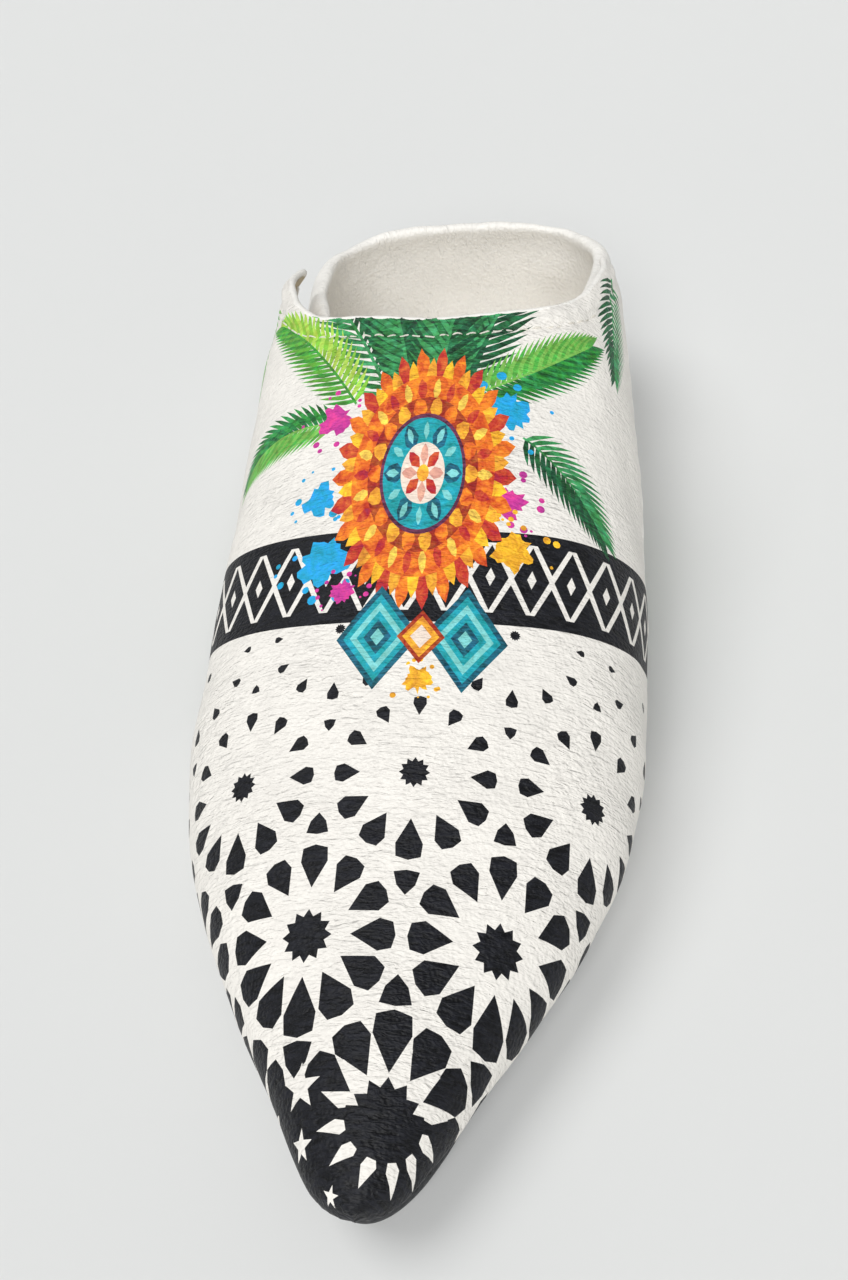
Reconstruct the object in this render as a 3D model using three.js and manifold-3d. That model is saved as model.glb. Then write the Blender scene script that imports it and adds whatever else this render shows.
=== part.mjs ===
// A babouche: a soft leather slipper with a long pointed toe, on a straight last for either foot.
// The maker sews four pieces: a flat outsole with a rounded edge, an insole board, one upper and
// a heel piece. The upper is a long pointed vamp whose two side wings stand open over low
// quarters, which are sewn in with it along the sole and run on round the heel as one wall. The
// heel piece laps over that wall.
//
// Millimetres. +Z is up, the toe points along -Y, and the floor is Z 0. Lengthwise places are
// given as a distance from the toe tip. The origin is on the floor, at the middle of the length.
import * as THREE from "three";
import { mergeVertices } from "three/addons/utils/BufferGeometryUtils.js";
import Module from "manifold-3d";

// ---- Driving dimensions ----
const LENGTH = 298; // toe tip to the back of the heel
const TOE_OVERHANG = 2.5; // how far the vamp's nose passes the sole's tip
const SOLE_LENGTH = 289;
const SOLE_THICKNESS = 8;
const TOE_SPRING = 6; // lift of the sole's tip
const SPRING_LENGTH = 55; // length of sole that curls up to it
const ARCH_LIFT = 1.2; // lift of the sole under the waist
const WALL = 1.8; // leather and lining together
const HEEL_PIECE_WALL = 1.3;
const INSOLE_THICKNESS = 3;
const GAP = 0.3; // between pieces that touch
const VAMP_INSET = 2; // the vamp's lower edge, in from the sole's outline
const QUARTER_INSET = 2.9; // the quarters' lower edge, tucked half a wall inside the vamp's
const INSOLE_INSET = 5.4;
const SOLE_END = TOE_OVERHANG + SOLE_LENGTH; // the sole's back, from the toe tip
const LAP = GAP + HEEL_PIECE_WALL; // how far the heel piece stands proud of the wall under it

// ---- Tables: a row for each station, distances from the toe tip ----
// Half width of the sole's outline, measured from the sole's own tip.
const SOLE_OUTLINE = [
  { at: 0, half: 0 },
  { at: 7.5, half: 10.4 },
  { at: 15, half: 14.6 },
  { at: 27, half: 19.9 },
  { at: 39, half: 26.6 },
  { at: 62, half: 37.9 },
  { at: 87, half: 43.2 },
  { at: 116, half: 40.2 },
  { at: 147, half: 32.3 },
  { at: 182, half: 27.6 },
  { at: 215, half: 29.2 },
  { at: 243, half: 32.6 },
  { at: 262, half: 33.9 },
  { at: 278, half: 30.8 },
  { at: SOLE_LENGTH, half: 0 },
];

// The vamp's sections: widest half width and its height, height of the crown, and the exponent
// of the curve between them, from 2 for an ellipse to 3 for a square shoulder.
const VAMP_SECTIONS = [
  { at: 0, girth: 0, girthZ: 17, crown: 21, shoulder: 2 },
  { at: 4, girth: 9.2, girthZ: 17, crown: 25, shoulder: 2 },
  { at: 10, girth: 13.8, girthZ: 17, crown: 28, shoulder: 2 },
  { at: 20, girth: 19.9, girthZ: 17, crown: 31, shoulder: 2 },
  { at: 40, girth: 32.4, girthZ: 17, crown: 35, shoulder: 2 },
  { at: 60, girth: 42.9, girthZ: 18, crown: 40, shoulder: 2 },
  { at: 85, girth: 51.6, girthZ: 19, crown: 47, shoulder: 2 },
  { at: 110, girth: 54.5, girthZ: 21, crown: 53.5, shoulder: 2.1 },
  { at: 150, girth: 54.2, girthZ: 25, crown: 63.5, shoulder: 2.3 },
  { at: 180, girth: 52.8, girthZ: 31, crown: 71, shoulder: 2.5 },
  { at: 205, girth: 51, girthZ: 37, crown: 77, shoulder: 2.8 },
  { at: 230, girth: 48.5, girthZ: 42, crown: 80, shoulder: 3 },
  { at: 252, girth: 43.5, girthZ: 44, crown: 80, shoulder: 3 },
];

// Where the vamp ends, against the place round the section (0 the crown, 1 the sole edge): the
// throat, the ear of the wing, and the wing's side edge down to the sole.
const GIRTH_PLACE = 0.7; // place round the section of its widest line
const EAR_PLACE = 0.5; // and of the wing's ear
const VAMP_EDGE = [
  { place: 0, at: 205 },
  { place: 0.2, at: 210 },
  { place: 0.34, at: 221 },
  { place: 0.44, at: 237 },
  { place: EAR_PLACE, at: 247 },
  { place: 0.56, at: 239 },
  { place: 0.62, at: 200 },
  { place: GIRTH_PLACE, at: 148 },
  { place: 0.85, at: 126 },
  { place: 1, at: 121 },
];

// The back wall, out from its lower edge: how far and how high it bulges, and where its top is.
const BACK_WALL = [
  { at: 90, bulge: 7.5, bulgeZ: 21, top: 3, topZ: 32 },
  { at: 121, bulge: 8.5, bulgeZ: 23, top: 4, topZ: 38 },
  { at: 150, bulge: 14, bulgeZ: 27, top: 8, topZ: 47 },
  { at: 180, bulge: 17, bulgeZ: 30, top: 10.5, topZ: 55 },
  { at: 205, bulge: 16.5, bulgeZ: 31, top: 10, topZ: 58 },
  { at: 230, bulge: 15, bulgeZ: 31, top: 9, topZ: 57 },
  { at: 250, bulge: 15.5, bulgeZ: 30, top: 11, topZ: 54.5 },
  { at: 268, bulge: 13.5, bulgeZ: 29, top: 10.5, topZ: 51.5 },
  { at: 282, bulge: 9, bulgeZ: 28, top: 6.5, topZ: 49 },
  { at: SOLE_END, bulge: LENGTH - SOLE_END + QUARTER_INSET - LAP, bulgeZ: 27, top: 5, topZ: 48 },
];
const FAN_START = 100; // where the vamp's lines start to fan out
const QUARTER_FOOT_START = 100; // front end of the back wall at the sole edge, under the vamp
const QUARTER_TOP_START = 160; // and at its top
const HEEL_SEAM = 216; // front edge of the heel piece
const HEEL_SEAM_BOW = 5; // how far that edge bows forward at mid height

// ---- Table reading ----
// A station's angle: 0 at the tip and PI at the heel, so that round ends come out round.
const angleAt = (at, length) => Math.acos(1 - (2 * Math.min(at, length)) / length);

// Reads a table's column at x by a cubic that never overshoots the rows on either side. It
// leaves the last row along the slope there, or level.
function read(table, key, column, x, level = false) {
  const xs = table.map(key);
  const ys = table.map((row) => row[column]);
  const slopes = xs.slice(1).map((end, i) => (ys[i + 1] - ys[i]) / (end - xs[i]));
  const tangent = (i) => {
    if (i === 0) return slopes[0];
    if (i === slopes.length) return level ? 0 : slopes[i - 1];
    const [before, after] = [slopes[i - 1], slopes[i]];
    return before * after <= 0 ? 0 : (2 * before * after) / (before + after);
  };
  const past = xs.findIndex((end) => end > x);
  const k = past < 0 ? slopes.length - 1 : Math.max(0, past - 1);
  const step = xs[k + 1] - xs[k];
  const t = THREE.MathUtils.clamp((x - xs[k]) / step, 0, 1);
  const [t2, t3] = [t * t, t * t * t];
  return (
    ys[k] * (2 * t3 - 3 * t2 + 1) +
    ys[k + 1] * (3 * t2 - 2 * t3) +
    tangent(k) * step * (t3 - 2 * t2 + t) +
    tangent(k + 1) * step * (t3 - t2)
  );
}

const atSoleAngle = (row) => angleAt(row.at, SOLE_LENGTH);
const atWallAngle = (row) => angleAt(row.at, SOLE_END);
const atPlace = (row) => row.place;

const mix = THREE.MathUtils.lerp;
const smooth = (k) => THREE.MathUtils.smoothstep(k, 0, 1);

// ---- The sole's plan and rocker ----
// The underside's height at a distance from the toe tip.
function rise(at) {
  const curl = Math.max(0, 1 - (at - TOE_OVERHANG) / SPRING_LENGTH);
  const waist = smooth((at - 135) / 40) * smooth((235 - at) / 40);
  return TOE_SPRING * curl * curl + ARCH_LIFT * waist;
}

const soleTop = (at) => rise(at) + SOLE_THICKNESS;

// A plan curve given by a half width and a distance, both against the angle, moved out along
// its own normal. Returns [half width, distance from the toe tip].
function planOffset(half, distance, angle, out) {
  const step = 1e-3;
  const across = half(Math.min(Math.PI, angle + step)) - half(Math.max(0, angle - step));
  const along = distance(Math.min(Math.PI, angle + step)) - distance(Math.max(0, angle - step));
  const size = Math.hypot(across, along);
  const atEnd = angle < step || angle > Math.PI - step;
  const normal = atEnd ? [0, angle < 1 ? -1 : 1] : [along / size, -across / size];
  return [Math.max(0, half(angle) + normal[0] * out), distance(angle) + normal[1] * out];
}

const soleHalf = (angle) => read(SOLE_OUTLINE, atSoleAngle, "half", angle);
const soleDistance = (angle) => TOE_OVERHANG + (SOLE_LENGTH * (1 - Math.cos(angle))) / 2;
const soleEdge = (angle, out) => planOffset(soleHalf, soleDistance, angle, out);
const soleAngle = (at) => angleAt(at - TOE_OVERHANG, SOLE_LENGTH);

// ---- The last: the vamp's surface and the back wall's ----
const FOOT_ANGLE = 0.42; // how steeply a wall leaves the sole edge, radians above the flat
const NOSE_LEAN = 12; // length over which the nose's overhang fades

// The curve of a wall from its foot out to its widest line; k runs 0 to 1.
function lowerArc(foot, girth, k) {
  const turn = mix(FOOT_ANGLE, Math.PI / 2, k);
  const out = (Math.sin(turn) - Math.sin(FOOT_ANGLE)) / (1 - Math.sin(FOOT_ANGLE));
  const up = 1 - Math.cos(turn) / Math.cos(FOOT_ANGLE);
  return [mix(foot[0], girth[0], out), mix(foot[1], girth[1], out), mix(foot[2], girth[2], up)];
}

// A point of the vamp: angle along the sole, place round the section from 0 at the crown to 1
// at the sole edge, and depth in from the outer face.
function vampPoint(angle, place, depth) {
  const column = (name) => read(VAMP_SECTIONS, atSoleAngle, name, angle);
  const girthHalf = (a) => read(VAMP_SECTIONS, atSoleAngle, "girth", a);
  const girthDistance = (a) => {
    const at = soleDistance(a);
    return at - TOE_OVERHANG * Math.exp(-(at - TOE_OVERHANG) / NOSE_LEAN);
  };
  const [girthX, girthAt] = planOffset(girthHalf, girthDistance, angle, -depth);
  const [footX, footAt] = soleEdge(angle, -VAMP_INSET - depth);
  const foot = [footX, footAt, soleTop(footAt) + GAP];
  const girth = [girthX, girthAt, column("girthZ")];
  if (place > GIRTH_PLACE) return lowerArc(foot, girth, (1 - place) / (1 - GIRTH_PLACE));
  const turn = (Math.PI / 2) * (1 - place / GIRTH_PLACE);
  const power = 2 / column("shoulder");
  const crown = column("crown") - depth;
  return [
    girth[0] * Math.cos(turn) ** power,
    girthAt,
    mix(girth[2], crown, Math.sin(turn) ** power),
  ];
}

// Where the vamp stops, as an angle along the sole, at a place round the section.
const vampEnd = (place) => soleAngle(read(VAMP_EDGE, atPlace, "at", place));

const BULGE_PLACE = 0.55; // share of the back wall's height line given to its lower curve
const TOP_TURN = 1.05; // radians that the wall turns from its bulge to its top

// A point of the back wall: angle along the sole, place from 0 at the sole edge to 1 at the top,
// and depth in from the outer face (below zero stands proud of it).
function backPoint(angle, place, depth) {
  const column = (name) => read(BACK_WALL, atWallAngle, name, angle, true);
  const ring = (out, z) => {
    const [x, at] = soleEdge(angle, out - QUARTER_INSET - depth);
    return [x, at, z];
  };
  const foot = ring(0, 0);
  foot[2] = soleTop(foot[1]) + GAP;
  const bulge = ring(column("bulge"), column("bulgeZ"));
  if (place < BULGE_PLACE) return lowerArc(foot, bulge, place / BULGE_PLACE);
  const top = ring(column("top"), column("topZ"));
  const turn = TOP_TURN * ((place - BULGE_PLACE) / (1 - BULGE_PLACE));
  const inward = (1 - Math.cos(turn)) / (1 - Math.cos(TOP_TURN));
  const up = Math.sin(turn) / Math.sin(TOP_TURN);
  return [mix(bulge[0], top[0], inward), mix(bulge[1], top[1], inward), mix(bulge[2], top[2], up)];
}

// ---- Mesh builders ----
// A place on the last, [half width, distance from the toe tip, height], on one side (1 or -1).
const toRow = ([x, at, z], side) => [side * x, at - LENGTH / 2, z];

function geometryOf(triangles) {
  const geometry = new THREE.BufferGeometry();
  const positions = new Float32Array(triangles.flat(2));
  geometry.setAttribute("position", new THREE.BufferAttribute(positions, 3));
  return geometry;
}

// Two triangles for the quad a-b-c-d.
const quad = (a, b, c, d) => [
  [a, b, c],
  [a, c, d],
];

// A sheet with thickness: outer and inner are grids of points. Its four edges are closed, and
// edges whose points coincide simply vanish when the mesh is merged.
function shell(outer, inner) {
  const triangles = [];
  const [rows, columns] = [outer.length - 1, outer[0].length - 1];
  for (let i = 0; i < rows; i++)
    for (let j = 0; j < columns; j++) {
      triangles.push(...quad(outer[i][j], outer[i + 1][j], outer[i + 1][j + 1], outer[i][j + 1]));
      triangles.push(...quad(inner[i][j], inner[i][j + 1], inner[i + 1][j + 1], inner[i + 1][j]));
    }
  for (let i = 0; i < rows; i++) {
    triangles.push(...quad(outer[i][0], inner[i][0], inner[i + 1][0], outer[i + 1][0]));
    const [a, b] = [outer[i][columns], inner[i][columns]];
    triangles.push(...quad(a, outer[i + 1][columns], inner[i + 1][columns], b));
  }
  for (let j = 0; j < columns; j++) {
    triangles.push(...quad(outer[0][j], outer[0][j + 1], inner[0][j + 1], inner[0][j]));
    const [a, b] = [outer[rows][j], inner[rows][j]];
    triangles.push(...quad(a, b, inner[rows][j + 1], outer[rows][j + 1]));
  }
  return geometryOf(triangles);
}

// A slab on the sole's plan: levels are [inset from the outline, height above the rocker].
function slab(levels, stations) {
  const half = (side) =>
    Array.from({ length: stations + 1 }, (_, i) =>
      levels.map(([inset, up]) => {
        const [x, at] = soleEdge((Math.PI * i) / stations, -inset);
        return toRow([x, at, rise(at) + up], side);
      }),
    );
  const [right, left] = [half(1), half(-1)];
  const top = levels.length - 1;
  const triangles = [];
  for (let i = 0; i < stations; i++) {
    for (let j = 0; j < top; j++) {
      triangles.push(...quad(right[i][j], right[i + 1][j], right[i + 1][j + 1], right[i][j + 1]));
      triangles.push(...quad(left[i][j], left[i][j + 1], left[i + 1][j + 1], left[i + 1][j]));
    }
    triangles.push(...quad(right[i][top], right[i + 1][top], left[i + 1][top], left[i][top]));
    triangles.push(...quad(right[i][0], left[i][0], left[i + 1][0], right[i + 1][0]));
  }
  return geometryOf(triangles);
}

// The places to sample from 0 to 1, with one of them exactly on each break.
function places(breaks, steps) {
  const ends = [0, ...breaks, 1];
  return ends.slice(1).flatMap((end, k) => {
    const start = ends[k];
    const count = Math.max(2, Math.round((end - start) * steps));
    return Array.from({ length: count }, (_, i) => mix(start, end, i / count));
  }).concat(1);
}

// The vamp: lines across the toe as far as the ball, and from there fanned out to the throat
// and to the wings' edges.
function vampShell() {
  const round = places([EAR_PLACE, GIRTH_PLACE], 18);
  const around = [...round.map((p) => [p, 1]).reverse(), ...round.slice(1).map((p) => [p, -1])];
  const [TOE_LINES, FAN_LINES] = [18, 16];
  const fan = soleAngle(FAN_START);
  const angleOf = (line, place) =>
    line <= TOE_LINES
      ? (fan * line) / TOE_LINES
      : mix(fan, vampEnd(place), (line - TOE_LINES) / FAN_LINES);
  const grid = (depth) =>
    Array.from({ length: TOE_LINES + FAN_LINES + 1 }, (_, i) =>
      around.map(([place, side]) => toRow(vampPoint(angleOf(i, place), place, depth), side)),
    );
  return shell(grid(0), grid(WALL));
}

// A wall round the heel between two depths, whose front edges start where frontAt(place) says.
function wallRoundHeel(frontAt, outerDepth, innerDepth, steps) {
  const upward = places([BULGE_PLACE], 9);
  const grid = (depth) =>
    Array.from({ length: 2 * steps + 1 }, (_, i) => {
      const share = Math.min(i, 2 * steps - i) / steps;
      return upward.map((place) =>
        toRow(
          backPoint(mix(soleAngle(frontAt(place)), Math.PI, share), place, depth),
          i <= steps ? 1 : -1,
        ),
      );
    });
  return shell(grid(outerDepth), grid(innerDepth));
}

// ---- Joining with manifold-3d ----
const wasm = await Module();
wasm.setup();

function solidOf(geometry) {
  const merged = mergeVertices(geometry, 1e-3);
  const mesh = new wasm.Mesh({
    numProp: 3,
    vertProperties: merged.attributes.position.array,
    triVerts: new Uint32Array(merged.index.array),
  });
  mesh.merge();
  return new wasm.Manifold(mesh);
}

function geometryFrom(solid) {
  const { vertProperties, triVerts } = solid.getMesh();
  const geometry = new THREE.BufferGeometry();
  geometry.setAttribute("position", new THREE.BufferAttribute(vertProperties, 3));
  geometry.setIndex(new THREE.BufferAttribute(triVerts, 1));
  return geometry;
}

// ---- The four pieces ----
// The outsole: flat underneath, with a full round edge and a flat top.
function outsoleGeometry() {
  const EDGE = 4.6; // radius of the underside's rounded edge
  const edge = Array.from({ length: 6 }, (_, i) => {
    const turn = (Math.PI / 2) * (i / 5);
    return [EDGE * (1 - Math.sin(turn)), EDGE * (1 - Math.cos(turn))];
  });
  return slab([...edge, [0.4, SOLE_THICKNESS - 1], [1.4, SOLE_THICKNESS]], 56);
}

const insoleGeometry = () =>
  slab(
    [
      [INSOLE_INSET, SOLE_THICKNESS + GAP],
      [INSOLE_INSET, SOLE_THICKNESS + GAP + INSOLE_THICKNESS],
    ],
    44,
  );

// The upper: the vamp, sewn along the sole edge to the quarters and the wall round the heel.
function upperGeometry() {
  const frontEdge = (place) => mix(QUARTER_FOOT_START, QUARTER_TOP_START, place);
  const quarters = wallRoundHeel(frontEdge, 0, WALL, 30);
  return geometryFrom(solidOf(vampShell()).add(solidOf(quarters)));
}

// The heel piece laps over the wall, its front edge bowed towards the toe.
function heelPieceGeometry() {
  const seam = (place) => HEEL_SEAM - HEEL_SEAM_BOW * Math.sin(Math.PI * place);
  return wallRoundHeel(seam, -GAP - HEEL_PIECE_WALL, -GAP, 24);
}

const MATERIALS = {
  black_leather: { color: 0x1a1b1f, roughness: 0.55 },
  insole_leather: { color: 0xe9e4d8, roughness: 0.7 },
  printed_leather: { color: 0xe8e6e1, roughness: 0.5 },
  white_leather: { color: 0xebe7df, roughness: 0.5 },
};

function piece(name, geometry, material) {
  geometry.computeVertexNormals();
  const mesh = new THREE.Mesh(geometry, new THREE.MeshStandardMaterial(MATERIALS[material]));
  mesh.name = name;
  return mesh;
}

const babouche = new THREE.Group();
babouche.add(
  piece("outsole", outsoleGeometry(), "black_leather"),
  piece("insole", insoleGeometry(), "insole_leather"),
  piece("upper", upperGeometry(), "printed_leather"),
  piece("heel_piece", heelPieceGeometry(), "white_leather"),
);

export default babouche;
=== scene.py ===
# A printed leather babouche: the looks. The frame gives the bodies and the four CAD nodes; every
# visible piece is made here over the CAD model's own surfaces, and rides on the one body.
#
# Lengths are millimetres until a mesh is made, in the CAD's frame: the toe points along -Y, the
# floor is Z 0, and the origin is on the floor at the middle of the shoe's length.
import math
import random

import bmesh
import bpy
from mathutils import Matrix, Vector
from mathutils.geometry import delaunay_2d_cdt
import numpy as np


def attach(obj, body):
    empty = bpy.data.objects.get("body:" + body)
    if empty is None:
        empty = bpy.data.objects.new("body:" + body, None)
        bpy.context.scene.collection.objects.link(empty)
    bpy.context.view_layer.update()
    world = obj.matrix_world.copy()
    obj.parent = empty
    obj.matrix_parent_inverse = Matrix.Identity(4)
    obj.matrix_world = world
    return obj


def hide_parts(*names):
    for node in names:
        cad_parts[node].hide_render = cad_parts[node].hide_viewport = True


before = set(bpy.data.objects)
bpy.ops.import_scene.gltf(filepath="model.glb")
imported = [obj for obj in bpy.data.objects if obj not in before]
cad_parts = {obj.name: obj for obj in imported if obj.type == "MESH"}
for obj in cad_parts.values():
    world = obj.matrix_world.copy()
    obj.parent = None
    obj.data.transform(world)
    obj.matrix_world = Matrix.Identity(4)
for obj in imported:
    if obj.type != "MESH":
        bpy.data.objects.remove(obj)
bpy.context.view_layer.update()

# ---- The last ----
# The shoe's own sizes in millimetres, as the CAD model has them. Lengthwise places are distances
# from the toe tip, and heights are from the floor.
LENGTH = 298
TOE_OVERHANG = 2.5
SOLE_LENGTH = 289
SOLE_THICKNESS = 8
SOLE_END = TOE_OVERHANG + SOLE_LENGTH
TOE_SPRING = 6
SPRING_LENGTH = 55
ARCH_LIFT = 1.2
WALL = 1.8
HEEL_PIECE_WALL = 1.3
GAP = 0.3
LAP = GAP + HEEL_PIECE_WALL
VAMP_INSET = 2
QUARTER_INSET = 2.9
INSOLE_TOP = 11.3
FOOT_ANGLE = 0.42  # how steeply the walls leave the sole, in radians from level
NOSE_LEAN = 12  # the length over which the toe's overhang dies out
GIRTH_PLACE = 0.7  # where the vamp is widest, from its crown at 0 to its foot at 1
EAR_PLACE = 0.5  # where the vamp's edge reaches furthest back
BULGE_PLACE = 0.55  # where the back wall is widest, from its foot at 0 to its top at 1
TOP_TURN = 1.05  # how far the back wall curls in at the top, in radians
ARCH_START = 135
ARCH_END = 235
ARCH_RAMP = 40

SOLE_OUTLINE = {
    "at": (0, 7.5, 15, 27, 39, 62, 87, 116, 147, 182, 215, 243, 262, 278, SOLE_LENGTH),
    "half": (0, 10.4, 14.6, 19.9, 26.6, 37.9, 43.2, 40.2, 32.3, 27.6, 29.2, 32.6, 33.9, 30.8, 0),
}
VAMP_SECTIONS = {
    "at": (0, 4, 10, 20, 40, 60, 85, 110, 150, 180, 205, 230, 252),
    "girth": (0, 9.2, 13.8, 19.9, 32.4, 42.9, 51.6, 54.5, 54.2, 52.8, 51, 48.5, 43.5),
    "girth_z": (17, 17, 17, 17, 17, 18, 19, 21, 25, 31, 37, 42, 44),
    "crown": (21, 25, 28, 31, 35, 40, 47, 53.5, 63.5, 71, 77, 80, 80),
    "shoulder": (2, 2, 2, 2, 2, 2, 2, 2.1, 2.3, 2.5, 2.8, 3, 3),
}
VAMP_EDGE = {
    "place": (0, 0.2, 0.34, 0.44, EAR_PLACE, 0.56, 0.62, GIRTH_PLACE, 0.85, 1),
    "at": (205, 210, 221, 237, 247, 239, 200, 148, 126, 121),
}
BACK_WALL = {
    "at": (90, 121, 150, 180, 205, 230, 250, 268, 282, SOLE_END),
    "bulge": (7.5, 8.5, 14, 17, 16.5, 15, 15.5, 13.5, 9, LENGTH - SOLE_END + QUARTER_INSET - LAP),
    "bulge_z": (21, 23, 27, 30, 31, 31, 30, 29, 28, 27),
    "top": (3, 4, 8, 10.5, 10, 9, 11, 10.5, 6.5, 5),
    "top_z": (32, 38, 47, 55, 58, 57, 54.5, 51.5, 49, 48),
}


def mix(a, b, k):
    return a + (b - a) * k


def smooth(k):
    k = np.clip(k, 0, 1)
    return k * k * (3 - 2 * k)


def unit(vectors):
    return vectors / np.linalg.norm(vectors, axis=1, keepdims=True)


def travelled(points):
    """How far along a line of points each one lies."""
    steps = np.linalg.norm(np.diff(points, axis=0), axis=1)
    return np.concatenate([[0], steps.cumsum()])


def cell(value, ticks):
    """Which gap between the ticks a value lies in, and its share of the way across it."""
    place = np.interp(value, ticks, np.arange(len(ticks)))
    index = np.clip(place.astype(int), 0, len(ticks) - 2)
    return index, place - index


def line_at(places, ticks, line):
    """The points of a line at some places, from the places of its own points."""
    return np.stack([np.interp(places, ticks, column) for column in line.T], -1)


def angle_at(at, length):
    """A station's angle: 0 at the tip and pi at the heel, so that round ends come out round."""
    return np.arccos(1 - 2 * np.clip(at, 0, length) / length)


def track(xs, ys, level=False):
    """A curve through the points that never overshoots them, as a function of x. It leaves the
    last point along the slope there, or level."""
    xs, ys = np.asarray(xs, float), np.asarray(ys, float)
    steps = np.diff(xs)
    slopes = np.diff(ys) / steps
    before, after = slopes[:-1], slopes[1:]
    same_way = before * after > 0
    total = np.where(same_way, before + after, 1)
    middle = np.where(same_way, 2 * before * after / total, 0)
    tangents = np.concatenate([slopes[:1], middle, [0.0 if level else slopes[-1]]])

    def value(x):
        k = np.clip(np.searchsorted(xs, x, side="right") - 1, 0, len(slopes) - 1)
        t = np.clip((x - xs[k]) / steps[k], 0, 1)
        return (
            ys[k] * (2 * t**3 - 3 * t**2 + 1)
            + ys[k + 1] * (3 * t**2 - 2 * t**3)
            + tangents[k] * steps[k] * (t**3 - 2 * t**2 + t)
            + tangents[k + 1] * steps[k] * (t**3 - t**2)
        )

    return value


def tracks(table, length, level=False):
    """A table's columns as curves against the angle of its stations."""
    stations = angle_at(np.array(table["at"], float), length)
    return {name: track(stations, ys, level) for name, ys in table.items() if name != "at"}


OUTLINE = tracks(SOLE_OUTLINE, SOLE_LENGTH)
VAMP = tracks(VAMP_SECTIONS, SOLE_LENGTH)
BACK = tracks(BACK_WALL, SOLE_END, level=True)
vamp_edge_at = track(VAMP_EDGE["place"], VAMP_EDGE["at"])


def rise(at):
    """The sole's underside above the floor: the toe's curl and the arch."""
    curl = np.maximum(0, 1 - (at - TOE_OVERHANG) / SPRING_LENGTH)
    waist = smooth((at - ARCH_START) / ARCH_RAMP) * smooth((ARCH_END - at) / ARCH_RAMP)
    return TOE_SPRING * curl**2 + ARCH_LIFT * waist


def sole_top(at):
    return rise(at) + SOLE_THICKNESS


def sole_angle(at):
    return angle_at(np.asarray(at) - TOE_OVERHANG, SOLE_LENGTH)


def sole_distance(angle):
    return TOE_OVERHANG + SOLE_LENGTH * (1 - np.cos(angle)) / 2


def plan_offset(half, distance, angle, out):
    """A plan curve moved out along its own normal: half widths and distances from the toe."""
    step = 1e-3
    low, high = np.maximum(0, angle - step), np.minimum(math.pi, angle + step)
    across, along = half(high) - half(low), distance(high) - distance(low)
    size = np.hypot(across, along)
    at_end = (angle < step) | (angle > math.pi - step)
    normal_x = np.where(at_end, 0, along / size)
    normal_y = np.where(at_end, np.where(angle < 1, -1, 1), -across / size)
    return np.maximum(0, half(angle) + normal_x * out), distance(angle) + normal_y * out


def sole_edge(angle, out):
    return plan_offset(OUTLINE["half"], sole_distance, angle, out)


def lower_arc(foot, girth, k):
    """A wall's curve from its foot out to its widest line."""
    turn = mix(FOOT_ANGLE, math.pi / 2, k)
    out = (np.sin(turn) - math.sin(FOOT_ANGLE)) / (1 - math.sin(FOOT_ANGLE))
    up = 1 - np.cos(turn) / math.cos(FOOT_ANGLE)
    return [mix(foot[0], girth[0], out), mix(foot[1], girth[1], out), mix(foot[2], girth[2], up)]


def vamp_surface(angle, place, depth):
    """The vamp: place 0 is the crown and 1 the sole edge. Returns x, distance, height."""

    def girth_distance(a):
        at = sole_distance(a)
        return at - TOE_OVERHANG * np.exp(-(at - TOE_OVERHANG) / NOSE_LEAN)

    girth_x, girth_at = plan_offset(VAMP["girth"], girth_distance, angle, -depth)
    foot_x, foot_at = sole_edge(angle, -VAMP_INSET - depth)
    foot = [foot_x, foot_at, sole_top(foot_at) + GAP]
    girth = [girth_x, girth_at, VAMP["girth_z"](angle)]
    lower = lower_arc(foot, girth, np.clip((1 - place) / (1 - GIRTH_PLACE), 0, 1))
    turn = math.pi / 2 * np.clip(1 - place / GIRTH_PLACE, 0, 1)
    power = 2 / VAMP["shoulder"](angle)
    crown = VAMP["crown"](angle) - depth
    cos, sin = np.clip(np.cos(turn), 0, 1), np.sin(turn)
    upper = [girth[0] * cos**power, girth_at, mix(girth[2], crown, sin**power)]
    return [np.where(place > GIRTH_PLACE, a, b) for a, b in zip(lower, upper)]


def back_surface(angle, place, depth):
    """The wall round the heel: place 0 is the sole edge and 1 the top."""

    def ring(out, z):
        x, at = sole_edge(angle, out - QUARTER_INSET - depth)
        return [x, at, z]

    foot = ring(0, 0)
    foot[2] = sole_top(foot[1]) + GAP
    bulge = ring(BACK["bulge"](angle), BACK["bulge_z"](angle))
    top = ring(BACK["top"](angle), BACK["top_z"](angle))
    lower = lower_arc(foot, bulge, np.clip(place / BULGE_PLACE, 0, 1))
    turn = TOP_TURN * np.clip((place - BULGE_PLACE) / (1 - BULGE_PLACE), 0, 1)
    inward = (1 - np.cos(turn)) / (1 - math.cos(TOP_TURN))
    up = np.sin(turn) / math.sin(TOP_TURN)
    upper = [mix(bulge[i], top[i], inward) for i in (0, 1)] + [mix(bulge[2], top[2], up)]
    return [np.where(place < BULGE_PLACE, a, b) for a, b in zip(lower, upper)]


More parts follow.
